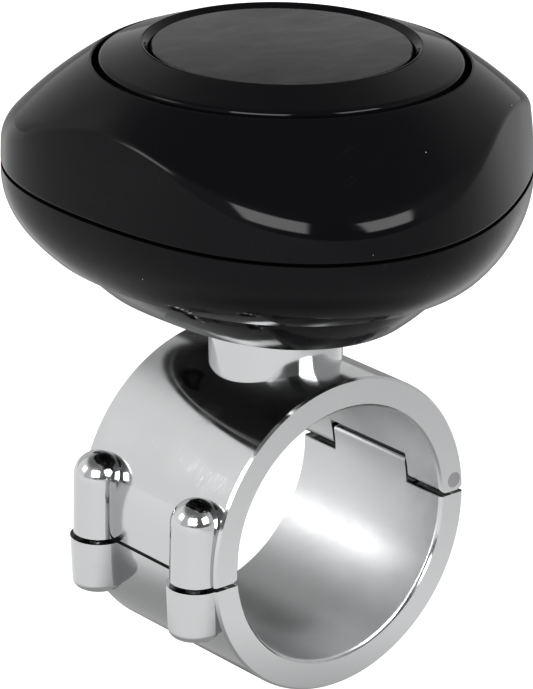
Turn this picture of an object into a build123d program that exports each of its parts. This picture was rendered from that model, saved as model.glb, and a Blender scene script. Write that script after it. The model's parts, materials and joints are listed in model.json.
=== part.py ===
from build123d import *
import os
from math import cos, hypot, radians, sin, sqrt

# A spinner knob for a steering wheel: a two-part chrome clamp, hinged on one side and
# drawn shut by two screws on the other, carries a neck, and a three-lobed black knob
# turns on a ball bearing on that neck. Millimetres, +Z up. The origin is the middle of
# the clamp's bore: the bore runs along Y, the hinge is at +X and the screws at -X.

# Clamp ring
bore_r = 16.5
ring_wall = 3.9
ring_len = 26.5
edge_break = 0.3
inner_edge_break = 0.4

# Split between the two halves on the screw side
split_z = -2.0
split_gap = 0.5
split_corner_r = 1.3
lower_corner_r = 0.65

# Hinge
pin_r = 1.0
pin_inset = 1.55
pin_z = 2.5
ear_wall = 0.5
ear_corner_r = 1.2
ear_fit = 0.01
hinge_fit = 0.05
shoulder_gap = 0.4
knuckle_len = 13.6
knuckle_rise = 1.6
knuckle_edge = 0.5
notch_side_gap = 0.35
notch_roof_gap = 0.8

# Screw bosses on the upper half and lugs on the lower half
boss_r = 3.15
boss_in = 0.05
boss_end_gap = 0.65
boss_h = 7.45
lug_step = 0.4
lug_h = 6.9
lug_draft = 3.0
lug_edge_r = 1.1

# Clamp screws
screw_r = 1.22
screw_clear = 0.28
screw_reach = 5.6
screw_tip_gap = 0.8
screw_head_wall = 0.65
screw_head_h = 2.6
screw_seat = 3.8
screw_key = 2.5
screw_key_depth = 1.3
head_clear = 0.15

# Neck
neck_r = 8.35
neck_len = 10.1
neck_step = 0.8

# Ball bearing
bearing_bore_r = 4.0
bearing_r = 11.0
bearing_w = 7.0
race_share = 0.3
ball_share = 0.2686
ball_count = 7
ball_gap = 0.12
race_chamfer = 0.3
cage_gap = 0.4
cage_floor = 0.3
cage_over = 0.7
pocket_gap = 0.1
shield_t = 0.35
shield_seat = 0.35
shield_in = 0.25
shield_gap = 0.3

# Spindle bolt and its washers
bolt_fit = 0.05
bolt_head_r = 6.5
bolt_head_h = 8.0
bolt_grip = 8.5
bolt_key = 6.0
bolt_key_depth = 4.0
bolt_end_gap = 1.0
washer_in = 0.2
washer_t = 1.6
lock_r = 6.2
lock_t = 2.0
lock_slot = 1.0

# Knob outline: how far a lobe and the flat between two lobes reach, first past the opening
opening_r = 22.95
lobe_turn = 4.0
lobe_count = 3
outline_points = 18
lobe_reach = 11.65
flat_reach = 7.35
crown_h = 14.2
crown_lobe_in = 0.9
crown_flat_in = 3.1
wall_bulge = 0.3
bowl_h = 9.3
bowl_lobe_in = 5.2
bowl_flat_in = 3.4
bowl_curve = 2.6
bowl_steps = (0.0, 0.12, 0.35, 0.65, 1.0)
collar_lobe_step = 2.0
collar_flat_step = 2.7
collar_h = 5.8
collar_lobe_in = 5.4
collar_flat_in = 5.5
collar_bulge = 0.4
parting_gap = 0.35

# Knob shells
shell_wall = 2.4
cone_wall = 3.1
lip_in = 1.2
lip_t = 1.0
lip_h = 1.8
lip_gap = 0.1
neck_gap = 0.5
pocket_fit = 0.02
hub_wall = 3.4
base_floor = 2.5

# Top of the knob: curved cone, opening, bezel cap and disc
opening_edge = 0.4
cone_run = 11.35
cone_drop = 9.65
cone_crown = 0.57
ridge_r = 1.5
well_wall = 2.0
well_depth = 5.4
ledge_in = 5.0
ledge_t = 1.8
bezel_gap = 0.95
bezel_rise = 0.4
bezel_climb = 1.75
bezel_width = 5.1
bezel_bevel = 0.85
bezel_edge = 0.3
bezel_wall = 1.8
bezel_floor = 1.5
disc_gap = 0.2
disc_t = 1.2
disc_recess = 0.45
disc_edge = 0.15
hook_count = 3
hook_w = 5.0
hook_t = 1.2
hook_barb = 0.6
hook_gap = 0.25
hook_seat_gap = 0.1

# Screws that join the two shells, one in each lobe
shell_screw_in = 3.8
shell_screw_r = 1.4
shell_screw_head_r = 2.7
shell_screw_head_h = 2.0
shell_screw_len = 18.0
shell_screw_slot = 0.7
thread_fit = 0.01
shell_screw_floor = 3.0
column_wall = 1.5

# Bearing retainer
retainer_lap = 1.4
retainer_inset = 0.2
retainer_t = 1.2
retainer_screw_count = 3
retainer_screw_r = 0.8
retainer_screw_head_r = 1.5
retainer_screw_head_h = 1.2
retainer_screw_len = 5.0
retainer_screw_gap = 0.1
retainer_screw_key = 1.2
retainer_screw_key_depth = 0.6

# Sizes that follow from those above
ring_r = bore_r + ring_wall
ring_end = ring_len/2
pin_radius_at = ring_r - pin_inset
pin_x = sqrt(pin_radius_at**2 - pin_z**2)
ear_z = pin_z - pin_r - ear_wall
shoulder_z = ear_z - shoulder_gap
knuckle_z = pin_z + knuckle_rise
notch_z = knuckle_z + notch_roof_gap
notch_len = knuckle_len + 2*notch_side_gap
upper_split_z = split_z + split_gap/2
lower_split_z = split_z - split_gap/2
boss_x = -ring_r + boss_in
boss_y = ring_end - boss_end_gap - boss_r
boss_places = [(boss_x, boss_y), (boss_x, -boss_y)]
lug_r = boss_r + lug_step
screw_hole_r = screw_r + screw_clear
screw_head_z = lower_split_z - screw_seat
screw_tip_z = upper_split_z + screw_reach
screw_head_r = boss_r - screw_head_wall
neck_top_z = ring_r + neck_len
bearing_space = bearing_r - bearing_bore_r
race_wall = race_share*bearing_space
ball_r = ball_share*bearing_space
ball_pitch_r = (bearing_bore_r + bearing_r)/2
inner_land_r = bearing_bore_r + race_wall
outer_land_r = bearing_r - race_wall
ledge_bearing_z = neck_top_z + neck_step
bearing_top_z = ledge_bearing_z + bearing_w
bearing_mid_z = ledge_bearing_z + bearing_w/2
bolt_shank_r = bearing_bore_r - bolt_fit
washer_r = inner_land_r - washer_in
washer_z = bearing_top_z + washer_t
bolt_seat_z = washer_z + lock_t
bolt_tip_z = neck_top_z - bolt_grip
collar_z = ledge_bearing_z - base_floor
bowl_z = collar_z + collar_h
parting_z = bowl_z + bowl_h
opening_z = parting_z + crown_h
parting_lobe = opening_r + lobe_reach
parting_flat = opening_r + flat_reach
collar_lobe = parting_lobe - bowl_lobe_in - collar_lobe_step
collar_flat = parting_flat - bowl_flat_in - collar_flat_step
hub_r = bearing_r + hub_wall
ledge_z = opening_z - well_depth
bezel_r = opening_r - bezel_gap
bezel_outer_z = opening_z + bezel_rise
bezel_top_z = bezel_outer_z + bezel_climb
bezel_inner_r = bezel_r - bezel_width
recess_r = bezel_inner_r - bezel_bevel
disc_r = recess_r - disc_gap
disc_top_z = bezel_top_z - disc_recess
disc_z = disc_top_z - disc_t
ledge_r = opening_r - ledge_in
hook_r = bezel_r - bezel_wall/2
shell_screw_at = collar_lobe - collar_lobe_in - shell_screw_in
shell_screw_seat_z = collar_z + shell_screw_floor
column_r = shell_screw_r + column_wall
column_foot_r = shell_screw_head_r + column_wall
retainer_in_r = bearing_r - retainer_lap
retainer_r = hub_r - retainer_inset
retainer_screw_at = (bearing_r + retainer_r)/2
overlap = 1.0


def disc_solid(radius, low, high, x=0.0, y=0.0):
    """Upright round bar between two heights."""
    return Pos(x, y, (low + high)/2)*Cylinder(radius, high - low)


def block(x_low, x_high, y_low, y_high, z_low, z_high):
    """Box between two corners."""
    middle = Pos((x_low + x_high)/2, (y_low + y_high)/2, (z_low + z_high)/2)
    return middle*Box(x_high - x_low, y_high - y_low, z_high - z_low)


def along_y(radius, length, x=0.0, z=0.0):
    """Round bar that lies along Y."""
    return Pos(x, 0, z)*Rot(90, 0, 0)*Cylinder(radius, length)


def turned(points):
    """Solid turned about Z from a closed outline of radius and height."""
    outline = Polyline(*[(r, 0, z) for r, z in points], close=True)
    return revolve(make_face(outline), Axis.Z)


def around(count, start=0.0):
    """Angles in degrees, evenly spaced round the axis."""
    return [start + 360*i/count for i in range(count)]


def polar(radius, angle):
    """X and Y of a place round the axis."""
    return radius*cos(radians(angle)), radius*sin(radians(angle))


def hex_bar(across, low, high, x=0.0, y=0.0):
    """Upright hexagonal bar, given the size across its flats."""
    outline = Pos(x, y, low)*RegularPolygon(across/2, 6, major_radius=False)
    return extrude(outline, high - low)


# Clamp


def ring_body():
    """The whole ring with its broken end edges."""
    outer = chamfer(along_y(ring_r, ring_len).edges().filter_by(GeomType.CIRCLE), edge_break)
    bore = along_y(bore_r, ring_len + 2*overlap)
    ring = outer - bore
    mouths = ring.edges().filter_by(GeomType.CIRCLE).filter_by(lambda e: abs(e.radius - bore_r) < edge_break)
    return chamfer(mouths, inner_edge_break)


def upper_region():
    """Side view of what belongs to the upper half: above the split at -X, above the ear's end at +X."""
    far = ring_r + overlap
    depth = ring_len + 2*overlap
    left = block(-far, 0, -depth/2, depth/2, upper_split_z, far)
    right = block(-overlap, far, -depth/2, depth/2, ear_z, far)
    return left + right


def lower_region():
    """Side view of the lower half: below the split at -X, below the shoulder at +X."""
    far = ring_r + overlap
    depth = ring_len + 2*overlap
    left = block(-far, 0, -depth/2, depth/2, -far, lower_split_z)
    right = block(-overlap, far, -depth/2, depth/2, -far, shoulder_z)
    return left + right


def long_edges(part, height, x_sign):
    """Straight edges along Y at a height, on one side of the bore."""
    found = part.edges().filter_by(Axis.Y)
    return found.filter_by(lambda e: abs(e.center().Z - height) < edge_break and e.center().X*x_sign > 0)


def inner_edge(edges, x_sign):
    """The edge nearest the bore."""
    return edges.sort_by(lambda e: e.center().X*x_sign)[0]


def boss(x, y):
    """Domed boss that takes one clamp screw."""
    dome_z = upper_split_z + boss_h
    return disc_solid(boss_r, upper_split_z, dome_z, x, y) + Pos(x, y, dome_z)*Sphere(boss_r)


def neck():
    """Round neck with the raised land that the bearing's inner race stands on."""
    stem = disc_solid(neck_r, 0, neck_top_z)
    land_r = (bearing_bore_r + inner_land_r)/2
    return stem + disc_solid(land_r, neck_top_z - overlap, ledge_bearing_z)


def upper_half_ring():
    """Upper half of the ring with the rounded corner at the split and the rounded ears."""
    half = ring_body() & upper_region()
    half = fillet(inner_edge(long_edges(half, upper_split_z, -1), -1), split_corner_r)
    return fillet(long_edges(half, ear_z, 1), ear_corner_r)


def upper_clamp():
    """Casting of the upper half, the two bosses and the neck."""
    body = upper_half_ring() + neck()
    for x, y in boss_places:
        body += boss(x, y)
    body -= along_y(bore_r, ring_len + 2*overlap)
    body -= block(0, ring_r + overlap, -notch_len/2, notch_len/2, 0, notch_z)
    body -= along_y(pin_r + ear_fit, ring_len + 2*overlap, pin_x, pin_z)
    for x, y in boss_places:
        body -= disc_solid(screw_hole_r, upper_split_z - overlap, screw_tip_z + screw_tip_gap, x, y)
    body -= disc_solid(bearing_bore_r, bolt_tip_z - bolt_end_gap, ledge_bearing_z + overlap)
    return body


def lug(x, y):
    """Tapered lug under a boss, with a rounded foot."""
    base = Pos(x, y, lower_split_z)*Circle(lug_r)
    body = extrude(base, -lug_h, taper=lug_draft)
    foot = body.edges().filter_by(GeomType.CIRCLE).sort_by(Axis.Z)[0]
    return fillet(foot, lug_edge_r)


def knuckle():
    """Tab of the lower half that stands up round the hinge pin, between the two ears."""
    ring = ring_body()
    column = block(0, ring_r + overlap, -knuckle_len/2, knuckle_len/2, shoulder_z - overlap, knuckle_z)
    tab = ring & column
    top_edges = long_edges(tab, knuckle_z, 1)
    tab = fillet(top_edges, knuckle_edge)
    return tab


def lower_clamp():
    """Casting of the lower half, the two lugs and the hinge knuckle."""
    body = ring_body() & lower_region()
    body = fillet(inner_edge(long_edges(body, lower_split_z, -1), -1), lower_corner_r)
    body += knuckle()
    for x, y in boss_places:
        body += lug(x, y)
    body -= along_y(bore_r, ring_len + 2*overlap)
    body -= along_y(pin_r + hinge_fit, ring_len + 2*overlap, pin_x, pin_z)
    for x, y in boss_places:
        body -= disc_solid(screw_hole_r, -ring_r, lower_split_z + overlap, x, y)
        body -= disc_solid(screw_head_r + head_clear, -ring_r, screw_head_z, x, y)
    return body


def hinge_pin():
    """Plain pin, flush with both ends of the ring."""
    return along_y(pin_r, ring_len, pin_x, pin_z)


def clamp_screw(x, y):
    """Socket screw that is put in from below, with its head sunk in the lug."""
    head = disc_solid(screw_head_r, screw_head_z - screw_head_h, screw_head_z, x, y)
    shank = disc_solid(screw_r, screw_head_z - overlap, screw_tip_z, x, y)
    low = screw_head_z - screw_head_h
    return head + shank - hex_bar(screw_key, low - overlap, low + screw_key_depth, x, y)


# Spindle and bearing


def spindle_bolt():
    """Socket bolt that holds the inner race down on the neck."""
    head = disc_solid(bolt_head_r, bolt_seat_z, bolt_seat_z + bolt_head_h)
    shank = disc_solid(bolt_shank_r, bolt_tip_z, bolt_seat_z + overlap)
    top = bolt_seat_z + bolt_head_h
    return head + shank - hex_bar(bolt_key, top - bolt_key_depth, top + overlap)


def flat_washer():
    """Washer that rests on the inner race only."""
    return disc_solid(washer_r, bearing_top_z, washer_z) - disc_solid(bearing_bore_r, 0, washer_z + overlap)


def lock_washer():
    """Split spring washer under the bolt's head."""
    ring = disc_solid(lock_r, washer_z, bolt_seat_z) - disc_solid(bearing_bore_r, 0, bolt_seat_z + overlap)
    return ring - block(0, lock_r + overlap, -lock_slot/2, lock_slot/2, washer_z - overlap, bolt_seat_z + overlap)


def race(inner, outer):
    """Plain race ring with its grooved track."""
    ring = disc_solid(outer, ledge_bearing_z, bearing_top_z) - disc_solid(inner, 0, bearing_top_z + overlap)
    track = Pos(0, 0, bearing_mid_z)*Torus(ball_pitch_r, ball_r + ball_gap)
    return ring - track


def bearing_inner_race():
    """Race that stands still on the neck."""
    ring = race(bearing_bore_r, inner_land_r)
    corners = ring.edges().filter_by(GeomType.CIRCLE).filter_by(lambda e: abs(e.radius - inner_land_r) < race_chamfer)
    outer_corners = corners.filter_by(lambda e: abs(e.center().Z - bearing_mid_z) > bearing_w/2 - race_chamfer)
    return chamfer(outer_corners, race_chamfer)


def bearing_outer_race():
    """Race that turns with the knob, stepped at both faces for the shields."""
    ring = race(outer_land_r, bearing_r)
    step = shield_in + shield_t
    seat_r = outer_land_r + shield_seat
    ring -= disc_solid(seat_r, bearing_top_z - step, bearing_top_z + overlap)
    ring -= disc_solid(seat_r, ledge_bearing_z - overlap, ledge_bearing_z + step)
    corners = ring.edges().filter_by(GeomType.CIRCLE).filter_by(lambda e: abs(e.radius - bearing_r) < race_chamfer)
    return chamfer(corners, race_chamfer)


def bearing_shield(low):
    """Thin washer that closes the gap between the races."""
    plate = disc_solid(outer_land_r + shield_seat, low, low + shield_t)
    return plate - disc_solid(inner_land_r + shield_gap, low - overlap, low + shield_t + overlap)


def ball_places():
    """Centres of the balls."""
    return [(*polar(ball_pitch_r, a), bearing_mid_z) for a in around(ball_count)]


def bearing_balls():
    """The balls, spaced by the cage."""
    return [Pos(*place)*Sphere(ball_r) for place in ball_places()]


def bearing_cage():
    """Crown cage: a ring below the balls with a pocket for each."""
    inner = inner_land_r + cage_gap
    outer = outer_land_r - cage_gap
    low = bearing_mid_z - ball_r - pocket_gap - cage_floor
    high = bearing_mid_z + cage_over
    cage = disc_solid(outer, low, high) - disc_solid(inner, low - overlap, high + overlap)
    for place in ball_places():
        cage -= Pos(*place)*Sphere(ball_r + pocket_gap)
    return cage


# Knob


def lobed_wire(lobe, flat, z):
    """Closed outline with its lobes."""
    mean = (lobe + flat)/2
    swing = (lobe - flat)/2
    points = []
    for angle in around(outline_points):
        radius = mean + swing*cos(radians(lobe_count*(angle - lobe_turn)))
        points.append(Vector(*polar(radius, angle), z))
    return Wire([Edge.make_spline(points, periodic=True)])


def lobed_prism(inset, low, high):
    """Straight-sided bar with the parting line's outline, made smaller all round."""
    face = Face(lobed_wire(parting_lobe - inset, parting_flat - inset, low))
    return Solid.extrude(face, Vector(0, 0, high - low))


def wall_loft(inset, low):
    """Leaning side wall of the upper shell, from a height up to the crown."""
    def section(z):
        share = (z - parting_z)/crown_h
        bulge = 4*wall_bulge*share*(1 - share)
        lobe = parting_lobe - crown_lobe_in*share + bulge - inset
        flat = parting_flat - crown_flat_in*share + bulge - inset
        return lobed_wire(lobe, flat, z)
    high = parting_z + crown_h + overlap
    return Solid.make_loft([section(low), section((low + high)/2), section(high)])


def bowl_section(z, inset=0.0):
    """Outline of the lower shell's bowl at a height."""
    share = max(0.0, min(1.0, (parting_z - z)/bowl_h))
    drop = share**bowl_curve
    return lobed_wire(parting_lobe - bowl_lobe_in*drop - inset, parting_flat - bowl_flat_in*drop - inset, z)


def bowl_loft(inset, low, high):
    """Bowl between two heights, made smaller all round by an inset."""
    return Solid.make_loft([bowl_section(low + (high - low)*share, inset) for share in bowl_steps])


def collar_section(z, inset=0.0):
    """Outline of the small lobed collar under the bowl."""
    share = (bowl_z - z)/collar_h
    bulge = 4*collar_bulge*share*(1 - share)
    lobe = collar_lobe - collar_lobe_in*share + bulge - inset
    flat = collar_flat - collar_flat_in*share + bulge - inset
    return lobed_wire(lobe, flat, z)


def collar_loft(inset, low, high):
    """Collar between two heights."""
    return Solid.make_loft([collar_section(z, inset) for z in (low, (low + high)/2, high)])


def cone_height(radius, drop=0.0):
    """Height of the knob's curved top at a radius, lowered by a drop."""
    chord = hypot(cone_run, cone_drop)
    curve_r = chord**2/(8*cone_crown) + cone_crown/2
    tilt_run = cone_drop/chord
    tilt_rise = cone_run/chord
    centre_r = opening_r + cone_run/2 - (curve_r - cone_crown)*tilt_run
    centre_z = opening_z - cone_drop/2 - (curve_r - cone_crown)*tilt_rise
    return centre_z + sqrt(curve_r**2 - (radius - centre_r)**2) - drop


def cone_body(drop, low):
    """Solid under the knob's curved top."""
    inner = opening_r - bezel_gap
    outer = parting_lobe + overlap
    middle = (inner + outer)/2
    arc = ThreePointArc(*[(r, 0, cone_height(r, drop)) for r in (inner, middle, outer)])
    rest = Polyline((outer, 0, cone_height(outer, drop)), (outer, 0, low), (0, 0, low),
                    (0, 0, cone_height(inner, drop)), (inner, 0, cone_height(inner, drop)))
    return revolve(make_face([arc.edge(), *rest.edges()]), Axis.Z)


def lobe_places():
    """Screw places, one in each lobe."""
    return [polar(shell_screw_at, angle) for angle in around(lobe_count, lobe_turn)]


def hook_places():
    """Angles of the cap's hooks, between the lobes."""
    return around(hook_count, lobe_turn + 180/hook_count)


def hook_box(angle, inner, outer, width, low, high):
    """Small block that lies square to a radius."""
    return Rot(0, 0, angle)*block(inner, outer, -width/2, width/2, low, high)


def knob_outside():
    """Outside of the upper shell, with the ridge where the top meets the side rounded."""
    low = parting_z + parting_gap/2
    body = Part([wall_loft(0, low)]) & cone_body(0, low - overlap)
    ridge = body.edges().filter_by(lambda e: parting_z + parting_gap < e.center().Z).sort_by(lambda e: e.length)[-1]
    return fillet(ridge, ridge_r)


def knob_top_shell():
    """Upper shell: leaning walls, curved top, well for the cap and three screw bosses."""
    low = parting_z + parting_gap/2
    cavity = Part([wall_loft(shell_wall, low - overlap)]) & cone_body(cone_wall, low - 2*overlap)
    well_low = ledge_z - ledge_t
    cavity -= disc_solid(opening_r + well_wall, well_low, opening_z + overlap)
    for x, y in lobe_places():
        cavity -= disc_solid(column_r, parting_z, opening_z, x, y)
    shell = knob_outside() - cavity - rebate()
    shell -= disc_solid(opening_r, ledge_z, opening_z + 2*overlap)
    shell -= disc_solid(ledge_r, well_low, ledge_z + overlap)
    for angle in hook_places():
        shell -= hook_box(angle, hook_r - hook_t/2 - hook_gap, hook_r + hook_t/2 + hook_barb + hook_gap,
                          hook_w + 2*hook_gap, well_low - overlap, ledge_z + overlap)
    for x, y in lobe_places():
        shell -= disc_solid(shell_screw_r + thread_fit, 0, shell_screw_seat_z + shell_screw_len + overlap, x, y)
    mouth_z = opening_z - opening_edge
    above = opening_edge + overlap
    return shell - turned([(0, mouth_z), (opening_r, mouth_z), (opening_r + above, mouth_z + above), (0, mouth_z + above)])


def rebate():
    """Step inside the upper shell's rim that the lip stands in."""
    band = lobed_prism(lip_in - lip_gap, parting_z - overlap, parting_z + lip_h + lip_gap)
    return Part([band]) - disc_solid(parting_flat - shell_wall - overlap, 0, opening_z)


def lip():
    """Tongue of the lower shell that stands inside the upper one."""
    low = parting_z - overlap
    ring = lobed_prism(lip_in, low, parting_z + lip_h)
    hollow = lobed_prism(lip_in + lip_t, low - overlap, parting_z + lip_h + overlap)
    return Part([ring]) - Part([hollow])


def base_keepers():
    """Hub round the bearing and the screw columns, kept solid inside the lower shell."""
    keep = disc_solid(hub_r, collar_z, bearing_top_z)
    for x, y in lobe_places():
        keep += disc_solid(column_r, collar_z, parting_z, x, y)
        keep += disc_solid(column_foot_r, collar_z, shell_screw_seat_z + column_wall, x, y)
    return keep


def base_outside():
    """Outside of the lower shell: bowl and collar."""
    bowl = Part([bowl_loft(0, bowl_z, parting_z - parting_gap/2)])
    return bowl + Part([collar_loft(0, collar_z, bowl_z + overlap)])


def base_cavity():
    """Hollow of the lower shell."""
    bowl = Part([bowl_loft(shell_wall, bowl_z + shell_wall, parting_z + overlap)])
    collar = Part([collar_loft(shell_wall, collar_z + shell_wall, bowl_z + shell_wall + overlap)])
    return bowl + collar - base_keepers()


def knob_base_shell():
    """Lower shell: bowl, collar, bearing pocket and three screw columns."""
    body = base_outside() - base_cavity() + lip()
    for x, y in lobe_places():
        body += disc_solid(column_r, bearing_top_z, parting_z, x, y)
    body -= disc_solid(bearing_r + pocket_fit, ledge_bearing_z, parting_z)
    body -= disc_solid(neck_r + neck_gap, 0, ledge_bearing_z + overlap)
    for x, y in lobe_places():
        body -= disc_solid(shell_screw_head_r + head_clear, 0, shell_screw_seat_z, x, y)
        body -= disc_solid(shell_screw_r + head_clear, 0, parting_z + overlap, x, y)
    for x, y in retainer_screw_places():
        body -= disc_solid(retainer_screw_r + thread_fit, bearing_top_z - retainer_screw_len, parting_z, x, y)
    return body


def shell_screw(x, y):
    """Screw with a slotted pan head, put in from below."""
    low = shell_screw_seat_z - shell_screw_head_h
    head = disc_solid(shell_screw_head_r, low, shell_screw_seat_z, x, y)
    shank = disc_solid(shell_screw_r, low, shell_screw_seat_z + shell_screw_len, x, y)
    slot_r = shell_screw_head_r + overlap
    slot = block(x - slot_r, x + slot_r, y - shell_screw_slot/2, y + shell_screw_slot/2, low - overlap, low + overlap)
    return head + shank - slot


def bezel_cap():
    """Sloped ring round the disc, with the floor under the disc and three hooks."""
    floor_z = disc_z - bezel_floor
    body = turned([(0, floor_z), (bezel_r - bezel_wall, floor_z), (bezel_r - bezel_wall, ledge_z),
                   (bezel_r, ledge_z), (bezel_r, bezel_outer_z - bezel_edge),
                   (bezel_r - bezel_edge, bezel_outer_z), (bezel_inner_r, bezel_top_z),
                   (recess_r, bezel_top_z - bezel_bevel), (recess_r, disc_z), (0, disc_z)])
    for angle in hook_places():
        body += hook(angle)
    return body


def hook(angle):
    """Leg that goes through the ledge, with a barb that catches under it."""
    tip_z = ledge_z - ledge_t - 2*overlap
    inner = hook_r - hook_t/2
    outer = hook_r + hook_t/2
    leg = hook_box(angle, inner, outer, hook_w, tip_z, ledge_z + overlap)
    barb = hook_box(angle, inner, outer + hook_barb, hook_w, tip_z, ledge_z - ledge_t - hook_seat_gap)
    return leg + barb


def top_disc():
    """Flat inlay in the middle of the cap."""
    disc = disc_solid(disc_r, disc_z, disc_top_z)
    return chamfer(disc.edges().sort_by(Axis.Z)[-1], disc_edge)


def retainer_screw_places():
    """Screws round the bearing."""
    angles = around(retainer_screw_count, lobe_turn + 180/retainer_screw_count)
    return [polar(retainer_screw_at, angle) for angle in angles]


def bearing_retainer():
    """Steel ring that holds the outer race down in its pocket."""
    plate = disc_solid(retainer_r, bearing_top_z, bearing_top_z + retainer_t)
    plate -= disc_solid(retainer_in_r, bearing_top_z - overlap, bearing_top_z + retainer_t + overlap)
    for x, y in retainer_screw_places():
        plate -= disc_solid(retainer_screw_r + retainer_screw_gap, 0, parting_z, x, y)
    return plate


def retainer_screw(x, y):
    """Small screw with a hexagon socket in its round head."""
    seat = bearing_top_z + retainer_t
    top = seat + retainer_screw_head_h
    head = disc_solid(retainer_screw_head_r, seat, top, x, y)
    shank = disc_solid(retainer_screw_r, seat - retainer_screw_len, top - retainer_screw_key_depth, x, y)
    return head + shank - hex_bar(retainer_screw_key, top - retainer_screw_key_depth, top + overlap, x, y)


nodes = {
    "upper_clamp": upper_clamp(),
    "lower_clamp": lower_clamp(),
    "hinge_pin": hinge_pin(),
    "clamp_screws": [clamp_screw(x, y) for x, y in boss_places],
    "spindle_bolt": spindle_bolt(),
    "flat_washer": flat_washer(),
    "lock_washer": lock_washer(),
    "bearing_inner_race": bearing_inner_race(),
    "bearing_outer_race": bearing_outer_race(),
    "bearing_lower_shield": bearing_shield(ledge_bearing_z + shield_in),
    "bearing_upper_shield": bearing_shield(bearing_top_z - shield_in - shield_t),
    "bearing_balls": bearing_balls(),
    "bearing_cage": bearing_cage(),
    "bearing_retainer": bearing_retainer(),
    "retainer_screws": [retainer_screw(x, y) for x, y in retainer_screw_places()],
    "knob_base_shell": knob_base_shell(),
    "knob_top_shell": knob_top_shell(),
    "shell_screws": [shell_screw(x, y) for x, y in lobe_places()],
    "bezel_cap": bezel_cap(),
    "top_disc": top_disc(),
}

os.makedirs("parts", exist_ok=True)
for name, shape in nodes.items():
    if isinstance(shape, list):
        shape = Compound(children=shape)
    export_step(shape, f"parts/{name}.step")
    box = shape.bounding_box()
    print(name, "volume", round(shape.volume, 1), "low", [round(v, 2) for v in box.min],
          "high", [round(v, 2) for v in box.max])
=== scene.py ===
# %% [markdown]
# # Steering wheel spinner knob
# A three-lobed gloss black knob turns on a ball bearing, on the neck of a chrome clamp that
# closes on the rim of a steering wheel. The solids come in as a fixed frame, in metres, with
# +Z up and the origin in the middle of the clamp's bore. This script dresses that frame: it
# builds the camera, a studio, the finishes, and the pieces that a mesh shows better than a solid.

# %% Load the frame
import json
import math

import bmesh
import bpy
from mathutils import Matrix, Vector


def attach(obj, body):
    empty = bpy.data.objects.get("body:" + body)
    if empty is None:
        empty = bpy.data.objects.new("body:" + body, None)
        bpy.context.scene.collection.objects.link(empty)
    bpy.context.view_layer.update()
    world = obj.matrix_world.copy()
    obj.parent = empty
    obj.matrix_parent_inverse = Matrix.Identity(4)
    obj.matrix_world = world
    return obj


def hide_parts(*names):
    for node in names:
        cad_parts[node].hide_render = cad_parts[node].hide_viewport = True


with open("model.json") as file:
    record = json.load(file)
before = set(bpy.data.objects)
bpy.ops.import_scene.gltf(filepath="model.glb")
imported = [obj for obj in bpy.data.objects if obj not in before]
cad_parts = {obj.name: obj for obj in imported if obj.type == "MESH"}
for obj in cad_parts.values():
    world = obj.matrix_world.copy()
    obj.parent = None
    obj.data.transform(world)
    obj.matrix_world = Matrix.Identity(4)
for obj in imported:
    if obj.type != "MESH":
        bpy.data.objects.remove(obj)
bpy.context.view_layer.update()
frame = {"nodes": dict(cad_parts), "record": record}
nodes = frame["nodes"]
scene = bpy.context.scene
mm = 0.001

# %% [markdown]
# ## Camera
# The photograph looks down on the front left corner of the knob through a long lens. A camera
# can be aimed with a constraint, but here its axes are worked out from three angles, which
# keeps it exact and leaves nothing live in the file.

# %% Place the camera
turn = math.radians(-40.74)
lift = math.radians(21.08)
roll = math.radians(1.15)
distance = 526.8*mm
slide_right = -1.143*mm
slide_up = 19.67*mm
long_side_px = 689
focal_px = 4190.43
sensor = 36.0


def camera_axes():
    """Right, up and back of the camera before it is rolled."""
    back = Vector((math.sin(turn)*math.cos(lift), -math.cos(turn)*math.cos(lift), math.sin(lift)))
    right = (-back).cross(Vector((0, 0, 1))).normalized()
    return right, right.cross(-back), back


def place_camera():
    """Camera at the photograph's angle, with its focal length in millimetres."""
    right, up, back = camera_axes()
    rolled_right = math.cos(roll)*right + math.sin(roll)*up
    rolled_up = math.cos(roll)*up - math.sin(roll)*right
    data = bpy.data.cameras.new("photo_camera")
    data.sensor_width = sensor
    data.lens = focal_px*sensor/long_side_px
    camera = bpy.data.objects.new("photo_camera", data)
    scene.collection.objects.link(camera)
    turned = Matrix((rolled_right, rolled_up, back)).transposed().to_4x4()
    place = slide_right*right + slide_up*up + distance*back
    camera.matrix_world = Matrix.Translation(place) @ turned
    scene.camera = camera
    return camera


camera = place_camera()
print("camera at", [round(c, 4) for c in camera.location], "lens", round(camera.data.lens, 1))

# %% [markdown]
# ## Node helpers
# Every material, the sky and every Geometry Nodes tree is a graph. Two helpers keep the graphs
# short: one adds a node and fills or links its inputs, the other does the same for arithmetic.

# %% Helpers for node graphs
def add(tree, kind, inputs=None, **options):
    """New node with its options set and its inputs filled with numbers or linked to sockets."""
    made = tree.nodes.new(kind)
    for name, value in options.items():
        setattr(made, name, value)
    for name, value in (inputs or {}).items():
        if isinstance(value, bpy.types.NodeSocket):
            tree.links.new(value, made.inputs[name])
        else:
            made.inputs[name].default_value = value
    return made


def calc(tree, operation, *values):
    """Result of one step of arithmetic on numbers."""
    made = add(tree, "ShaderNodeMath", dict(enumerate(values)), operation=operation)
    return made.outputs[0]


def vector_calc(tree, operation, *values):
    """Result of one step of arithmetic on vectors."""
    made = add(tree, "ShaderNodeVectorMath", dict(enumerate(values)), operation=operation)
    gives_number = operation in ("DOT_PRODUCT", "LENGTH", "DISTANCE")
    return made.outputs["Value" if gives_number else "Vector"]


def ease(tree, value, start, end, low=0.0, high=1.0):
    """Smooth step from low to high while the value goes from start to end."""
    made = add(tree, "ShaderNodeMapRange", {"Value": value, "From Min": start, "From Max": end,
                                            "To Min": low, "To Max": high},
               interpolation_type="SMOOTHSTEP")
    return made.outputs["Result"]


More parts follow.
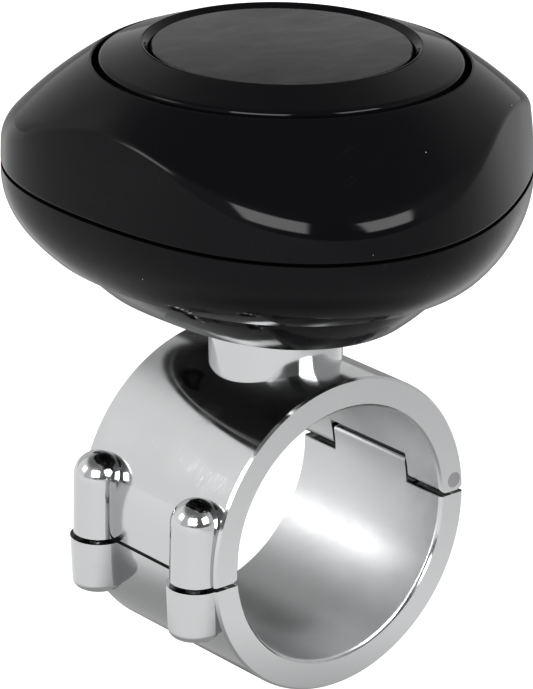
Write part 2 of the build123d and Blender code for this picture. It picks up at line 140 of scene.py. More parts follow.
def new_group(name, inputs, outputs):
    """Empty shader node group with its sockets, its input node and its output node."""
    group = bpy.data.node_groups.new(name, "ShaderNodeTree")
    for label, kind, value in inputs:
        socket = group.interface.new_socket(label, in_out="INPUT", socket_type=kind)
        if value is not None:
            socket.default_value = value
    for label, kind in outputs:
        group.interface.new_socket(label, in_out="OUTPUT", socket_type=kind)
    return group, group.nodes.new("NodeGroupInput"), group.nodes.new("NodeGroupOutput")


number = "NodeSocketFloat"
vector = "NodeSocketVector"
print("helpers ready")

# %% [markdown]
# ## Studio light
# Chrome and gloss black show little but what is around them, so the studio decides the look.
# Area lamps would do, but a sky that is painted by direction gives the same straight-edged
# soft boxes without noise. One node group draws one soft box as a rectangle seen from the
# object, and the sky adds several of them to a dim tent.

# %% A soft box, as a node group
def soft_box_group():
    """Light of one rectangular soft box in a given direction."""
    group, given, result = new_group(
        "soft box",
        [("Direction", vector, None), ("Across", vector, None), ("Up", vector, None),
         ("Facing", vector, None), ("Half Width", number, 0.3), ("Half Height", number, 0.3),
         ("Edge", number, 0.03), ("Strength", number, 1.0)],
        [("Light", number)])
    toward = vector_calc(group, "DOT_PRODUCT", given.outputs["Direction"], given.outputs["Facing"])
    depth = calc(group, "MAXIMUM", toward, 0.01)
    masks = []
    for axis, half in (("Across", "Half Width"), ("Up", "Half Height")):
        along = vector_calc(group, "DOT_PRODUCT", given.outputs["Direction"], given.outputs[axis])
        off = calc(group, "ABSOLUTE", calc(group, "DIVIDE", along, depth))
        inside = calc(group, "SUBTRACT", given.outputs[half], off)
        edge = calc(group, "MULTIPLY", given.outputs["Edge"], -1.0)
        masks.append(ease(group, inside, edge, given.outputs["Edge"]))
    lit = calc(group, "MULTIPLY", masks[0], masks[1])
    lit = calc(group, "MULTIPLY", lit, calc(group, "GREATER_THAN", toward, 0.02))
    group.links.new(calc(group, "MULTIPLY", lit, given.outputs["Strength"]), result.inputs["Light"])
    return group


soft_box = soft_box_group()
print("soft box inputs", [s.name for s in soft_box.interface.items_tree if s.in_out == "INPUT"])

# %% [markdown]
# Directions are given as an azimuth, which is 0 toward -Y and 90 toward +X, and an elevation.
# Two bright keys stand either side of the camera and draw the bright streaks on the knob's
# ridge, and a smaller one far to the left lights the ridge there. A large dim box at the back
# left adds to the tent, and lights the side of the ring. The tent is darker overhead, toward
# the camera, and in a small patch behind the part that the disc mirrors.

# %% Paint the sky
soft_boxes = [
    # azimuth, elevation, width, height, edge (degrees), strength
    ("key left", -54, 26, 34, 28, 2, 11.0),
    ("key right", 10, 26, 26, 24, 2, 11.0),
    ("side left", -121, 27, 18, 16, 4, 7.0),
    ("back left", -140, 20, 60, 54, 8, 0.35),
]
dark_cones = [
    # azimuth, elevation, outer and inner half angle (degrees), share of the light left
    ("camera side", -18, 5, 55, 30, 0.3),
    ("behind, in the disc", 139, 32, 15.7, 13.8, 0.15),
]
tent_light = 0.8
ceiling_light = 0.3
ceiling_from, ceiling_to = math.radians(33), math.radians(64)
contrast_gamma = 0.8


def facing(azimuth, elevation):
    """Unit vector toward an azimuth and elevation in degrees."""
    a, e = math.radians(azimuth), math.radians(elevation)
    return Vector((math.sin(a)*math.cos(e), -math.cos(a)*math.cos(e), math.sin(e)))


def paint_sky():
    """Sky by direction: a tent that is dim above and toward the camera, and the soft boxes."""
    world = bpy.data.worlds.new("studio")
    world.use_nodes = True
    tree = world.node_tree
    direction = add(tree, "ShaderNodeTexCoord").outputs["Generated"]
    split = add(tree, "ShaderNodeSeparateXYZ", {"Vector": direction})
    total = ease(tree, split.outputs["Z"], math.sin(ceiling_from), math.sin(ceiling_to),
                 tent_light, ceiling_light)
    for name, azimuth, elevation, outer, inner, left in dark_cones:
        axis = tuple(facing(azimuth, elevation))
        toward = vector_calc(tree, "DOT_PRODUCT", direction, axis)
        dim = ease(tree, toward, math.cos(math.radians(outer)), math.cos(math.radians(inner)), 1.0, left)
        dim.node.label = name
        total = calc(tree, "MULTIPLY", total, dim)
    for name, azimuth, elevation, width, height, edge, strength in soft_boxes:
        normal = facing(azimuth, elevation)
        across = Vector((0, 0, 1)).cross(normal).normalized()
        box = add(tree, "ShaderNodeGroup", node_tree=soft_box, label=name)
        values = {"Direction": direction, "Across": tuple(across), "Up": tuple(normal.cross(across)),
                  "Facing": tuple(normal), "Half Width": math.tan(math.radians(width/2)),
                  "Half Height": math.tan(math.radians(height/2)), "Edge": math.radians(edge),
                  "Strength": strength}
        for label, value in values.items():
            if label == "Direction":
                tree.links.new(value, box.inputs[label])
            else:
                box.inputs[label].default_value = value
        total = calc(tree, "ADD", total, box.outputs["Light"])
    tree.links.new(total, tree.nodes["Background"].inputs["Strength"])
    tree.nodes["Background"].inputs["Color"].default_value = (1, 1, 1, 1)
    scene.world = world


paint_sky()
scene.view_settings.view_transform = "Standard"
scene.view_settings.gamma = contrast_gamma
print("soft boxes", len(soft_boxes), "dark cones", len(dark_cones))

# %% [markdown]
# ## Floor
# The floor is a plain pale table, set just lower than the jaw reaches when the clamp hangs open. It glows
# a little, as a light table does, so it stays white right up to the part. Its glow is dimmer right under
# the part, out to the right and behind it. This is painted shade, which gives the chrome its soft greys
# and keeps the outline of the black knob dark. The camera itself sees it all white.

# %% Lay the floor
floor_z = -46*mm
floor_half = 6.0
floor_base = 0.12
floor_glow = 0.95
floor_seen = 1.1
# Shares of the glow left where the floor gets painted shade: right of, under and behind the part.
right_share, right_from, right_to = 0.72, 0.07, 0.19
under_share, under_from, under_to = 0.4, 0.045, 0.09
behind_share, behind_from, behind_to = 0.2, math.radians(34), math.radians(10)


def lay_floor():
    """Large flat floor with a matt white, faintly glowing finish, its glow dimmed as painted shade under,
    right of and behind the part.
    """
    corners = [(-floor_half, -floor_half), (floor_half, -floor_half), (floor_half, floor_half),
               (-floor_half, floor_half)]
    mesh = bpy.data.meshes.new("floor")
    mesh.from_pydata([(x, y, floor_z) for x, y in corners], [], [(0, 1, 2, 3)])
    floor = bpy.data.objects.new("floor", mesh)
    scene.collection.objects.link(floor)
    material = bpy.data.materials.new("pale_floor")
    material.use_nodes = True
    shader = material.node_tree.nodes["Principled BSDF"]
    shader.inputs["Base Color"].default_value = (floor_base, floor_base, floor_base, 1)
    shader.inputs["Roughness"].default_value = 0.9
    shader.inputs["Emission Color"].default_value = (1, 1, 1, 1)
    tree = material.node_tree
    place = add(tree, "ShaderNodeTexCoord").outputs["Object"]
    # Painted shade: the glow is dimmer to the right of the part, under it and behind it.
    side = vector_calc(tree, "DOT_PRODUCT", place, (math.cos(turn), math.sin(turn), 0))
    right = ease(tree, side, right_from, right_to, 1.0, right_share)
    flat = vector_calc(tree, "MULTIPLY", place, (1, 1, 0))
    under = ease(tree, vector_calc(tree, "LENGTH", flat), under_from, under_to, under_share, 1.0)
    heading = vector_calc(tree, "NORMALIZE", flat)
    away = vector_calc(tree, "DOT_PRODUCT", heading, (-math.sin(turn), math.cos(turn), 0))
    behind = ease(tree, away, math.cos(behind_from), math.cos(behind_to), 1.0, behind_share)
    glow = calc(tree, "MULTIPLY", calc(tree, "MULTIPLY", right, under), floor_glow)
    glow = calc(tree, "MULTIPLY", glow, behind)
    seen = add(tree, "ShaderNodeLightPath").outputs["Is Camera Ray"]
    glow = calc(tree, "MAXIMUM", glow, calc(tree, "MULTIPLY", seen, floor_seen))
    tree.links.new(glow, shader.inputs["Emission Strength"])
    mesh.materials.append(material)
    return floor


lay_floor()
print("floor at", floor_z)

# %% [markdown]
# ## Shared surface effects
# Three effects appear on more than one finish, so each is a node group that is built once:
# the slight unevenness of a plated or moulded surface, hairline scratches, and dust specks.
# They read Object coordinates, which here are metres in the part's own frame.

# %% Uneven surface group
def uneven_group():
    """Gentle height that makes reflections waver, and a patchy mask of handling."""
    group, given, result = new_group(
        "uneven surface",
        [("Position", vector, None), ("Wave Size", number, 0.006), ("Patch Size", number, 0.012)],
        [("Height", number), ("Patches", number)])
    for label, detail, output in (("Wave Size", 1.0, "Height"), ("Patch Size", 4.0, "Patches")):
        scale = calc(group, "DIVIDE", 1.0, given.outputs[label])
        noise = add(group, "ShaderNodeTexNoise", {"Vector": given.outputs["Position"], "Scale": scale,
                                                  "Detail": detail, "Roughness": 0.5})
        group.links.new(noise.outputs["Fac"], result.inputs[output])
    return group


uneven = uneven_group()
print("uneven surface ready")


# %% Hairline scratch group
def scratch_group():
    """Mask of sparse straight hairlines in a few directions."""
    group, given, result = new_group(
        "hairline scratches",
        [("Position", vector, None), ("Spacing", number, 0.01), ("Sparseness", number, 0.62)],
        [("Scratches", number)])
    lines = None
    for step, (tilt_x, tilt_z) in enumerate(((0.3, 0.4), (1.2, 1.9), (-0.7, 2.8))):
        turned = add(group, "ShaderNodeMapping", {"Vector": given.outputs["Position"],
                                                  "Location": (0.013*step, 0.007*step, 0.0),
                                                  "Rotation": (tilt_x, 0.5*step, tilt_z)})
        scale = calc(group, "DIVIDE", 1.0, given.outputs["Spacing"])
        where = vector_calc(group, "MULTIPLY", turned.outputs["Vector"], (1.0, 30.0, 1.0))
        thin = add(group, "ShaderNodeTexNoise", {"Vector": where, "Scale": scale, "Detail": 2.0,
                                                 "Distortion": 0.1})
        line = ease(group, calc(group, "ABSOLUTE", calc(group, "SUBTRACT", thin.outputs["Fac"], 0.5)),
                    0.0, 0.012, 1.0, 0.0)
        place = add(group, "ShaderNodeTexNoise", {"Vector": turned.outputs["Vector"], "Scale": scale,
                                                  "Detail": 1.0})
        low = given.outputs["Sparseness"]
        shown = ease(group, place.outputs["Fac"], low, calc(group, "ADD", low, 0.05))
        line = calc(group, "MULTIPLY", line, shown)
        lines = line if lines is None else calc(group, "MAXIMUM", lines, line)
    group.links.new(lines, result.inputs["Scratches"])
    return group


scratches = scratch_group()
print("hairline scratches ready")


# %% Dust speck group
def speck_group():
    """Mask of scattered dust specks, one in some of the cells of a fine grid."""
    group, given, result = new_group(
        "dust specks",
        [("Position", vector, None), ("Spacing", number, 0.004), ("Size", number, 0.08),
         ("Share", number, 0.25)],
        [("Specks", number)])
    scale = calc(group, "DIVIDE", 1.0, given.outputs["Spacing"])
    cells = add(group, "ShaderNodeTexVoronoi", {"Vector": given.outputs["Position"], "Scale": scale})
    dot = ease(group, cells.outputs["Distance"], calc(group, "MULTIPLY", given.outputs["Size"], 0.5),
               given.outputs["Size"], 1.0, 0.0)
    draw = add(group, "ShaderNodeSeparateColor", {"Color": cells.outputs["Color"]})
    chosen = calc(group, "LESS_THAN", draw.outputs["Red"], given.outputs["Share"])
    group.links.new(calc(group, "MULTIPLY", dot, chosen), result.inputs["Specks"])
    return group


specks = speck_group()
print("dust specks ready")

# %% [markdown]
# ## Finishes
# Each finish is one Principled material. The helper gives the material's shader and the object
# coordinates, and places an effect group with that finish's own values.

# %% Helpers for finishes
def new_finish(name, base, metallic, roughness, **sockets):
    """Material with its plain values set. Returns the material, its tree, shader and position."""
    material = bpy.data.materials.new(name)
    material.use_nodes = True
    tree = material.node_tree
    shader = tree.nodes["Principled BSDF"]
    shader.inputs["Base Color"].default_value = (*base, 1)
    shader.inputs["Metallic"].default_value = metallic
    shader.inputs["Roughness"].default_value = roughness
    for label, value in sockets.items():
        shader.inputs[label.replace("_", " ")].default_value = value
    position = add(tree, "ShaderNodeTexCoord").outputs["Object"]
    return material, tree, shader, position


def place_group(tree, group, position, **values):
    """Puts an effect group into a material with its own values."""
    made = add(tree, "ShaderNodeGroup", node_tree=group)
    tree.links.new(position, made.inputs["Position"])
    for label, value in values.items():
        made.inputs[label.replace("_", " ")].default_value = value
    return made


def bump(tree, shader, layers):
    """Adds up heights, each a socket and its depth in metres, and feeds the shader's normal."""
    total = None
    for socket, depth in layers:
        part = calc(tree, "MULTIPLY", socket, depth)
        total = part if total is None else calc(tree, "ADD", total, part)
    made = add(tree, "ShaderNodeBump", {"Height": total, "Distance": 1.0, "Strength": 1.0})
    tree.links.new(made.outputs["Normal"], shader.inputs["Normal"])


def blend_colour(tree, mask, first, second):
    """Colour that goes from the first to the second with the mask."""
    made = add(tree, "ShaderNodeMix", data_type="RGBA")
    tree.links.new(mask, made.inputs[0])
    made.inputs[6].default_value = (*first, 1)
    made.inputs[7].default_value = (*second, 1)
    return made.outputs[2]


print("finish helpers ready")

# %% [markdown]
# Chrome plate on a zinc casting is a mirror that wavers very slightly, because the casting
# under it isn't quite flat. Fine wipes make it a touch rougher in patches, and a few hairlines
# catch the light. The bore is plated as cast, not polished, so it is satin and dimpled.

# %% Chrome
bore_r = 16.5
bore_roughness = 0.26
cast_grain = 260.0
cast_depth = 0.00006


def make_chrome():
    """Bright plate with slow waves and sparse hairlines, satin inside the bore."""
    material, tree, shader, position = new_finish("chrome_plate", (0.57, 0.575, 0.58), 1.0, 0.08)
    surface = place_group(tree, uneven, position, Wave_Size=0.004, Patch_Size=0.01)
    lines = place_group(tree, scratches, position, Spacing=0.007, Sparseness=0.62)
    split = add(tree, "ShaderNodeSeparateXYZ", {"Vector": position})
    across = calc(tree, "MULTIPLY", split.outputs["X"], split.outputs["X"])
    squared = calc(tree, "MULTIPLY_ADD", split.outputs["Z"], split.outputs["Z"], across)
    in_bore = ease(tree, calc(tree, "SQRT", squared), (bore_r + 0.25)*mm, (bore_r + 0.05)*mm)
    cast = add(tree, "ShaderNodeTexNoise", {"Vector": position, "Scale": cast_grain, "Detail": 3.0})
    rough = ease(tree, surface.outputs["Patches"], 0.35, 0.7, 0.08, 0.14)
    rough = calc(tree, "ADD", rough, calc(tree, "MULTIPLY", in_bore, bore_roughness))
    rough = calc(tree, "ADD", rough, calc(tree, "MULTIPLY", lines.outputs["Scratches"], 0.15))
    tree.links.new(rough, shader.inputs["Roughness"])
    cast_height = calc(tree, "MULTIPLY", cast.outputs["Fac"], in_bore)
    bump(tree, shader, [(surface.outputs["Height"], 0.000004), (lines.outputs["Scratches"], -0.000001),
                        (cast_height, cast_depth)])
    return material


chrome = make_chrome()
print("made", chrome.name)

# %% [markdown]
# The black shells are glossy moulded plastic. Their tone comes from a thin clear reflection
# over a nearly black body, and from the dust specks and short hairlines that gloss black never
# hides.

# %% Black plastics
black_body = (0.004, 0.004, 0.005)
dust_grey = (0.45, 0.45, 0.45)


def make_black(name, roughness, share):
    """Gloss black with a slight orange peel, specks and hairlines."""
    material, tree, shader, position = new_finish(name, black_body, 0.0, roughness,
                                                  Specular_IOR_Level=0.18)
    surface = place_group(tree, uneven, position, Wave_Size=0.003, Patch_Size=0.009)
    dust = place_group(tree, specks, position, Spacing=0.0022, Size=0.05, Share=share)
    lines = place_group(tree, scratches, position, Spacing=0.009, Sparseness=0.66)
    marks = calc(tree, "MAXIMUM", dust.outputs["Specks"],
                 calc(tree, "MULTIPLY", lines.outputs["Scratches"], 0.012))
    tree.links.new(blend_colour(tree, marks, black_body, dust_grey), shader.inputs["Base Color"])
    rough = ease(tree, surface.outputs["Patches"], 0.35, 0.75, roughness, roughness + 0.04)
    rough = calc(tree, "ADD", rough, calc(tree, "MULTIPLY", marks, 0.4))
    tree.links.new(rough, shader.inputs["Roughness"])
    bump(tree, shader, [(surface.outputs["Height"], 0.0000015), (dust.outputs["Specks"], 0.00001)])
    return material


black_gloss = make_black("black_gloss_plastic", 0.06, 0.10)
black_cap = make_black("black_cap_plastic", 0.05, 0.05)
print("made", black_gloss.name, black_cap.name)

# %% [markdown]
# The disc in the middle is a dark smoky inlay under gloss. Faint light streaks run across it as a painted
# reflection of its wavy sheen, mixed into its colour. A stretched and distorted noise gives streaks with
# no repeat.

# %% Grey disc
smoke_dark = (0.018, 0.018, 0.019)
painted_reflection_grey = (0.034, 0.034, 0.036)
reflection_streak_turn = 0.75


def make_disc_finish():
    """Dark grey gloss inlay with soft wavy light streaks painted into its colour as a painted reflection.
    """
    material, tree, shader, position = new_finish("disc_with_painted_reflection", smoke_dark, 0.0, 0.07,
                                                  Specular_IOR_Level=0.35)
    # Painted reflection: light streaks mixed into the base colour, stretched and turned like a wavy
    # sheen.
    stretched = add(tree, "ShaderNodeMapping", {"Vector": position, "Rotation": (0, 0, reflection_streak_turn),
                                                "Scale": (1.0, 2.6, 1.0)})
    reflection_streak_noise = add(tree, "ShaderNodeTexNoise", {"Vector": stretched.outputs["Vector"], "Scale": 90.0,
                                             "Detail": 4.0, "Distortion": 2.2})
    streaks = ease(tree, reflection_streak_noise.outputs["Fac"], 0.4, 0.75)
    tree.links.new(blend_colour(tree, streaks, smoke_dark, painted_reflection_grey), shader.inputs["Base Color"])
    surface = place_group(tree, uneven, position, Wave_Size=0.005, Patch_Size=0.008)
    rough = ease(tree, surface.outputs["Patches"], 0.35, 0.75, 0.05, 0.12)
    tree.links.new(rough, shader.inputs["Roughness"])
    bump(tree, shader, [(surface.outputs["Height"], 0.000003)])
    return material


disc_with_painted_reflection = make_disc_finish()
print("made", disc_with_painted_reflection.name)

# %% [markdown]
# The steels differ in how they were worked: the pin is turned, the clamp's screws are zinc
# plated, the shell's screws are blacked, and the bearing is ground. The ball cage is nylon.

# %% Steels and nylon
def make_steel(name, base, roughness, wave, depth):
    """Worked steel: patchy roughness, hairlines and a slight unevenness."""
    material, tree, shader, position = new_finish(name, base, 1.0, roughness)
    surface = place_group(tree, uneven, position, Wave_Size=wave, Patch_Size=wave*4)
    lines = place_group(tree, scratches, position, Spacing=0.003, Sparseness=0.5)
    darker = tuple(0.7*c for c in base)
    tone = blend_colour(tree, surface.outputs["Patches"], darker, base)
    tree.links.new(tone, shader.inputs["Base Color"])
    rough = ease(tree, surface.outputs["Patches"], 0.3, 0.7, roughness, roughness + 0.15)
    tree.links.new(rough, shader.inputs["Roughness"])
    bump(tree, shader, [(surface.outputs["Height"], depth), (lines.outputs["Scratches"], -depth)])
    return material


def make_nylon():
    """Moulded nylon, cream and slightly translucent."""
    material, tree, shader, position = new_finish("cage_nylon", (0.75, 0.7, 0.58), 0.0, 0.45,
                                                  Subsurface_Weight=0.1, Subsurface_Scale=0.002)
    surface = place_group(tree, uneven, position, Wave_Size=0.0006, Patch_Size=0.004)
    tree.links.new(blend_colour(tree, surface.outputs["Patches"], (0.7, 0.64, 0.52), (0.8, 0.76, 0.65)),
                   shader.inputs["Base Color"])
    bump(tree, shader, [(surface.outputs["Height"], 0.00001)])
    return material


pin_steel = make_steel("pin_steel", (0.42, 0.42, 0.43), 0.25, 0.0008, 0.000003)
screw_steel = make_steel("screw_steel", (0.5, 0.5, 0.52), 0.28, 0.001, 0.000004)
black_steel = make_steel("black_steel", (0.03, 0.03, 0.03), 0.3, 0.001, 0.000004)
bearing_steel = make_steel("bearing_steel", (0.7, 0.71, 0.72), 0.12, 0.001, 0.000001)
cage_nylon = make_nylon()
print("made", pin_steel.name, screw_steel.name, black_steel.name, bearing_steel.name, cage_nylon.name)

# %% Give every node its finish
finishes = {
    "chrome": chrome, "pin_steel": pin_steel, "screw_steel": screw_steel, "black_steel": black_steel,
    "bearing_steel": bearing_steel, "cage_nylon": cage_nylon, "black_gloss": black_gloss,
    "black_cap": black_cap, "grey_disc": disc_with_painted_reflection,
}
for subpart in frame["record"]["subparts"]:
    for material_slot in nodes[subpart["node"]].material_slots:
        material_slot.material = finishes[subpart["material_slot"]]

# %% [markdown]
# ## Turned pieces
# The knob's ridge is crisp along the flats and soft over the lobes, and the real edges are all
# a little rounded. A fillet in the solid has one radius, so the upper shell and the bezel are
# built here instead. One Geometry Nodes tree turns a table of profiles round the axis: the
# profiles go from the flat to the lobe, and each angle takes the mix that the three-lobed
# outline asks for. A round piece has a table of one profile.

# %% Inputs of the lathe tree
lobe_turn = math.radians(4)
lobe_count = 3
round_steps = 360
weld_gap = 0.002*mm


def empty_lathe_tree():
    """Geometry tree with its named inputs. Returns it with its input sockets and output node."""
    tree = bpy.data.node_groups.new("profile lathe", "GeometryNodeTree")
    for label, kind, value in (("Profiles", "Geometry", None), ("Points Per Profile", "Int", 10),
                               ("Profile Count", "Int", 1), ("Steps Round", "Int", round_steps),
                               ("Lobes", "Int", lobe_count), ("Lobe Turn", "Float", 0.0),
                               ("Material", "Material", None)):
        socket = tree.interface.new_socket(label, in_out="INPUT", socket_type="NodeSocket" + kind)
        if value is not None:
            socket.default_value = value
    tree.interface.new_socket("Solid", in_out="OUTPUT", socket_type="NodeSocketGeometry")
    return tree, tree.nodes.new("NodeGroupInput").outputs, tree.nodes.new("NodeGroupOutput")


print("lathe inputs ready")

# %% [markdown]
# The tree bends a flat grid into the solid. A column of the grid is one angle and a row is one
# point of the profile, so each point of the grid finds its place from its own index.

# %% Place of a grid point
def grid_place(tree, given, rows):
    """Row and column of each point of the grid. The last row closes on the first."""
    index = add(tree, "GeometryNodeInputIndex").outputs[0]
    column = calc(tree, "FLOOR", calc(tree, "DIVIDE", calc(tree, "ADD", index, 0.5), rows))
    row = calc(tree, "SUBTRACT", index, calc(tree, "MULTIPLY", column, rows))
    return calc(tree, "MODULO", row, given["Points Per Profile"]), column


def table_point(tree, given, profile, row):
    """Position of one point in the table of profiles."""
    point = calc(tree, "MULTIPLY_ADD", profile, given["Points Per Profile"], row)
    position = add(tree, "GeometryNodeInputPosition").outputs[0]
    inputs = {"Geometry": given["Profiles"], "Value": position, "Index": point}
    return add(tree, "GeometryNodeSampleIndex", inputs, data_type="FLOAT_VECTOR").outputs["Value"]


def mixed_point(tree, given, row, angle):
    """Point of the outline at an angle, mixed from the two nearest profiles of the table."""
    from_lobe = calc(tree, "SUBTRACT", angle, given["Lobe Turn"])
    swing = calc(tree, "COSINE", calc(tree, "MULTIPLY", from_lobe, given["Lobes"]))
    share = calc(tree, "MULTIPLY_ADD", swing, 0.5, 0.5)
    last = calc(tree, "SUBTRACT", given["Profile Count"], 1.0)
    station = calc(tree, "MULTIPLY", share, last)
    lower = calc(tree, "FLOOR", station)
    upper = calc(tree, "MINIMUM", calc(tree, "ADD", lower, 1.0), last)
    first = table_point(tree, given, lower, row)
    step = vector_calc(tree, "SUBTRACT", table_point(tree, given, upper, row), first)
    return vector_calc(tree, "MULTIPLY_ADD", step, calc(tree, "SUBTRACT", station, lower), first)


def swung(tree, point, angle):
    """A point of the profile turned round the axis."""
    split = add(tree, "ShaderNodeSeparateXYZ", {"Vector": point}).outputs
    places = {"Z": split["Z"]}
    for axis, share in (("X", "COSINE"), ("Y", "SINE")):
        places[axis] = calc(tree, "MULTIPLY", split["X"], calc(tree, share, angle))
    return add(tree, "ShaderNodeCombineXYZ", places).outputs[0]


print("grid helpers ready")


# %% Profile lathe tree
def lathe_tree():
    """Tree that turns a table of closed profiles into a lobed or round solid."""
    tree, given, result = empty_lathe_tree()
    rows = calc(tree, "ADD", given["Points Per Profile"], 1.0)
    columns = calc(tree, "ADD", given["Steps Round"], 1.0)
    grid = add(tree, "GeometryNodeMeshGrid", {"Vertices X": columns, "Vertices Y": rows})
    row, column = grid_place(tree, given, rows)
    angle = calc(tree, "DIVIDE", calc(tree, "MULTIPLY", column, math.tau), given["Steps Round"])
    position = swung(tree, mixed_point(tree, given, row, angle), angle)
    mesh = grid.outputs["Mesh"]
    steps = {"SetPosition": {"Position": position}, "MergeByDistance": {"Distance": weld_gap},
             "SetShadeSmooth": {}, "RealizeInstances": {}, "SetMaterial": {"Material": given["Material"]}}
    for kind, inputs in steps.items():
        mesh = add(tree, "GeometryNode" + kind, {"Geometry": mesh, **inputs}).outputs[0]
    tree.links.new(mesh, result.inputs["Solid"])
    return tree


lathe = lathe_tree()
print("lathe nodes", len(lathe.nodes))


# %% Turn a table of profiles
def as_plain_mesh(maker, name):
    """New object with the evaluated mesh of another, which is then removed.

    A profile that runs along the axis closes up to a bare edge there, which is taken out.
    """
    depsgraph = bpy.context.evaluated_depsgraph_get()
    mesh = bpy.data.meshes.new_from_object(maker.evaluated_get(depsgraph), depsgraph=depsgraph)
    mesh.name = name
    solid = bmesh.new()
    solid.from_mesh(mesh)
    bmesh.ops.delete(solid, geom=[edge for edge in solid.edges if not edge.link_faces], context="EDGES")
    solid.to_mesh(mesh)
    solid.free()
    made = bpy.data.objects.new(name, mesh)
    scene.collection.objects.link(made)
    bpy.data.objects.remove(maker)
    return made


def turned_piece(name, profiles, material):
    """Solid from closed profiles of (radius, height) in millimetres, flat first and lobe last."""
    table = bpy.data.meshes.new(name + "_profiles")
    table.from_pydata([(r*mm, 0, z*mm) for profile in profiles for r, z in profile], [], [])
    maker = bpy.data.objects.new(name + "_profiles", table)
    scene.collection.objects.link(maker)
    modifier = maker.modifiers.new("lathe", "NODES")
    modifier.node_group = lathe
    values = {"Points Per Profile": len(profiles[0]), "Profile Count": len(profiles),
              "Steps Round": round_steps, "Lobes": lobe_count, "Lobe Turn": lobe_turn,
              "Material": material}
    for item in lathe.interface.items_tree:
        if item.in_out == "INPUT" and item.name in values:
            modifier[item.identifier] = values[item.name]
    return as_plain_mesh(maker, name)


def check_closed(piece):
    """Prints how many triangles a piece has, its open edges and its volume."""
    solid = bmesh.new()
    solid.from_mesh(piece.data)
    loose = sum(1 for edge in solid.edges if len(edge.link_faces) != 2)
    volume = solid.calc_volume(signed=True)
    print(piece.name, "triangles", sum(len(f.verts) - 2 for f in solid.faces), "open edges", loose,
          "volume mm3", round(volume*1e9, 1))
    solid.free()


print("lathe ready")

# %% [markdown]
# A profile is written as corners in order, and `soften` rounds each one. Extra points just
# beside a rounded corner keep the smooth shading flat on the faces either side of it.

# %% Profile helpers
guard = 0.6
curve_steps = 3


def point_along(start, end, length):
    """Point at a distance from the first point on the way to the second."""
    span = math.dist(start, end)
    return tuple(a + (b - a)*length/span for a, b in zip(start, end))


def bend(start, corner, end, t):
    """Point on the curve that rounds a corner."""
    return tuple((1 - t)**2*a + 2*t*(1 - t)*b + t*t*c for a, b, c in zip(start, corner, end))


def soften(corners):
    """Closed profile from (radius, height, rounding) corners. Rounding 0 keeps a corner sharp."""
    points = []
    for place, (r, z, size) in enumerate(corners):
        if size == 0:
            points.append((r, z))
            continue
        before, after = corners[place - 1][:2], corners[(place + 1) % len(corners)][:2]
        corner = (r, z)
        start, end = point_along(corner, before, size), point_along(corner, after, size)
        points.append(point_along(start, before, guard*size))
        points += [bend(start, corner, end, step/curve_steps) for step in range(curve_steps + 1)]
        points.append(point_along(end, after, guard*size))
    return points


print("a softened corner has", curve_steps + 3, "points")

# %% [markdown]
# The upper shell's outline follows the same sizes as the solid. The ridge is an arc that
# touches both the leaning wall and the curved top, worked out for each profile in the table.

# %% Sizes of the upper shell
parting_z = 43.9
parting_gap = 0.35
crown_h = 14.2
lobe_r = 34.6
flat_r = 30.3
lobe_in = 0.9
flat_in = 3.1
wall_bulge = 0.3
wall_t = 2.4
opening_r = 22.95
opening_z = 58.1
opening_edge = 0.4
cone_run = 11.35
cone_drop = 9.65
cone_crown = 0.57
cone_t = 3.1
rebate_in = 1.1
rebate_z = 45.8
ledge_z = 52.7
ledge_r = 17.95
ledge_t = 1.8
well_wall = 2.0
rim_edge = 0.3
ridge_flat = 1.5
ridge_lobe = 5.4
grow_from = 0.12
grow_over = 0.7
cone_chord = math.hypot(cone_run, cone_drop)
cone_r = cone_chord**2/(8*cone_crown) + cone_crown/2
cone_middle = (opening_r + cone_run/2 - (cone_r - cone_crown)*cone_drop/cone_chord,
               opening_z - cone_drop/2 - (cone_r - cone_crown)*cone_run/cone_chord)
print("curved top has a radius of", round(cone_r, 1), "mm")


# %% Curves of the upper shell
halvings = 50


def wall_r(share, z):
    """Radius of the outer wall at a height, from the flat (share 0) to the lobe (share 1)."""
    up = (z - parting_z)/crown_h
    foot = flat_r + (lobe_r - flat_r)*share
    lean = flat_in + (lobe_in - flat_in)*share
    return foot - lean*up + 4*wall_bulge*up*(1 - up)


def cone_z(r):
    """Height of the curved top at a radius."""
    return cone_middle[1] + math.sqrt(cone_r**2 - (r - cone_middle[0])**2)


def spread(start, end, steps, power=1.0):
    """Values from start to end, both included."""
    return [start + (end - start)*(step/steps)**power for step in range(steps + 1)]


def height_where(holds_below):
    """Height up to which a condition holds, found by halving between the parting and the opening."""
    low, high = parting_z, opening_z
    for _ in range(halvings):
        z = (low + high)/2
        if holds_below(z):
            low = z
        else:
            high = z
    return z


print("flat and lobe foot", wall_r(0, parting_z), wall_r(1, parting_z))


# %% Ridge of the upper shell
arc_steps = 12
probe = 0.01


def ridge_middle(share, radius, z):
    """Middle of the arc that touches the wall at a height, and the wall's lean there."""
    slope = (wall_r(share, z + probe) - wall_r(share, z - probe))/(2*probe)
    lean = math.atan(-slope)
    return (wall_r(share, z) - radius*math.cos(lean), z - radius*math.sin(lean)), lean


def ridge_arc(share):
    """Arc from the wall to the curved top, which it touches from inside."""
    grown = min(1.0, max(0.0, (share - grow_from)/grow_over))
    radius = ridge_flat + (ridge_lobe - ridge_flat)*grown*grown*(3 - 2*grown)
    reach = cone_r - radius
    z = height_where(lambda z: math.dist(ridge_middle(share, radius, z)[0], cone_middle) < reach)
    middle, lean = ridge_middle(share, radius, z)
    end = math.atan2(middle[1] - cone_middle[1], middle[0] - cone_middle[0])
    return [(middle[0] + radius*math.cos(angle), middle[1] + radius*math.sin(angle))
            for angle in spread(lean, end, arc_steps)]


print("ridge on the flat ends at", [round(c, 2) for c in ridge_arc(0)[-1]])


# %% Profile of the upper shell
wall_steps = 10
wall_crowding = 0.9
cone_steps = 12
beside_arc = 0.15
under_middle = 1.0


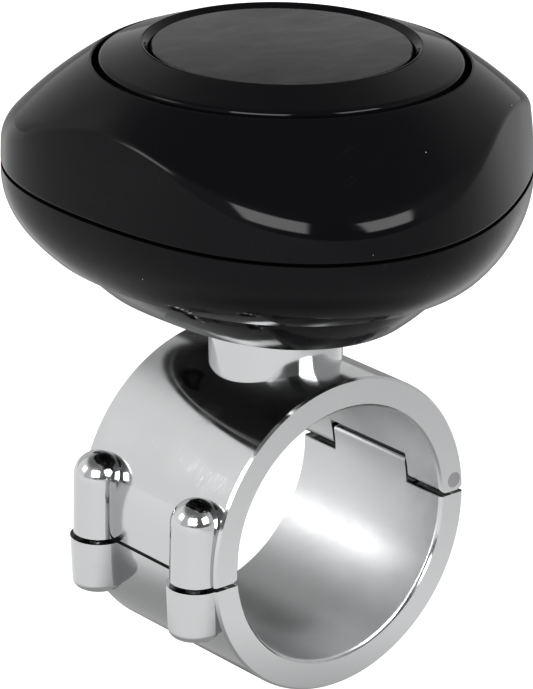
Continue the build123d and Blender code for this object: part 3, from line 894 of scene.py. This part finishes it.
def outside_corners(share, low):
    """Corners from the parting line up the wall, over the ridge and along the top to the opening."""
    arc = ridge_arc(share)
    wall = spread(low + 2*rim_edge, arc[0][1] - beside_arc, wall_steps, wall_crowding)
    cone = spread(arc[-1][0] - beside_arc, opening_r + 2*opening_edge, cone_steps)
    corners = [(wall_r(share, low), low, rim_edge)]
    corners += [(wall_r(share, z), z, 0) for z in wall]
    corners += [(r, z, 0) for r, z in arc]
    corners += [(r, cone_z(r), 0) for r in cone]
    return corners + [(opening_r, cone_z(opening_r), opening_edge)]


def inside_corners(share, low):
    """Corners from the opening down over the bezel's ledge and back along the inside."""
    under_ledge = ledge_z - ledge_t
    meet = height_where(lambda z: z < cone_z(wall_r(share, z) - wall_t) - cone_t)
    wall = [(wall_r(share, z) - wall_t, z, 0) for z in (meet, (meet + rebate_z)/2, rebate_z)]
    top = [(r, cone_z(r) - cone_t, 0)
           for r in (opening_r + well_wall, (opening_r + wall[0][0])/2 + under_middle)]
    rebate_r = flat_r + (lobe_r - flat_r)*share - rebate_in
    ledge = [(opening_r, ledge_z, 0), (ledge_r, ledge_z, 0), (ledge_r, under_ledge, 0),
             (opening_r + well_wall, under_ledge, 0)]
    return ledge + top + wall + [(rebate_r, rebate_z, 0), (rebate_r, low, 0)]


def shell_profile(share):
    """Closed profile of the upper shell, from the flat (share 0) to the lobe (share 1)."""
    low = parting_z + parting_gap/2
    return soften(outside_corners(share, low) + inside_corners(share, low))


print("points in a profile", len(shell_profile(0)))


# %% Upper shell
station_count = 17


def build_upper_shell():
    """The upper shell, which turns with the knob."""
    profiles = [shell_profile(share) for share in spread(0, 1, station_count - 1)]
    shell = turned_piece("upper_shell", profiles, black_gloss)
    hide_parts("knob_top_shell")
    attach(shell, "knob")
    return shell


check_closed(build_upper_shell())

# %% [markdown]
# The bezel is round, so its table holds one profile. The edge of its rim is rounded by 0.4 mm,
# which draws the thin bright line that its near side shows.

# %% Bezel
bezel_r = 22.2
rim_z = 58.32
rim_round = 0.4
crest_r = 16.9
crest_z = 60.25
crest_round = 0.22
seat_r = 16.05
seat_top_z = 59.4
seat_round = 0.12
seat_z = 58.6
seat_t = 1.5
skirt_t = 2.0


def build_bezel():
    """The sloped ring with the seat under the disc and a skirt that stands on the ledge."""
    skirt_r, seat_low = bezel_r - skirt_t, seat_z - seat_t
    corners = [(bezel_r, ledge_z, 0), (bezel_r, rim_z, rim_round), (crest_r, crest_z, crest_round),
               (seat_r, seat_top_z, seat_round), (seat_r, seat_z, 0), (0, seat_z, 0), (0, seat_low, 0),
               (skirt_r, seat_low, 0), (skirt_r, ledge_z, 0)]
    bezel = turned_piece("bezel", [soften(corners)], black_cap)
    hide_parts("bezel_cap")
    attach(bezel, "knob")
    return bezel


check_closed(build_bezel())
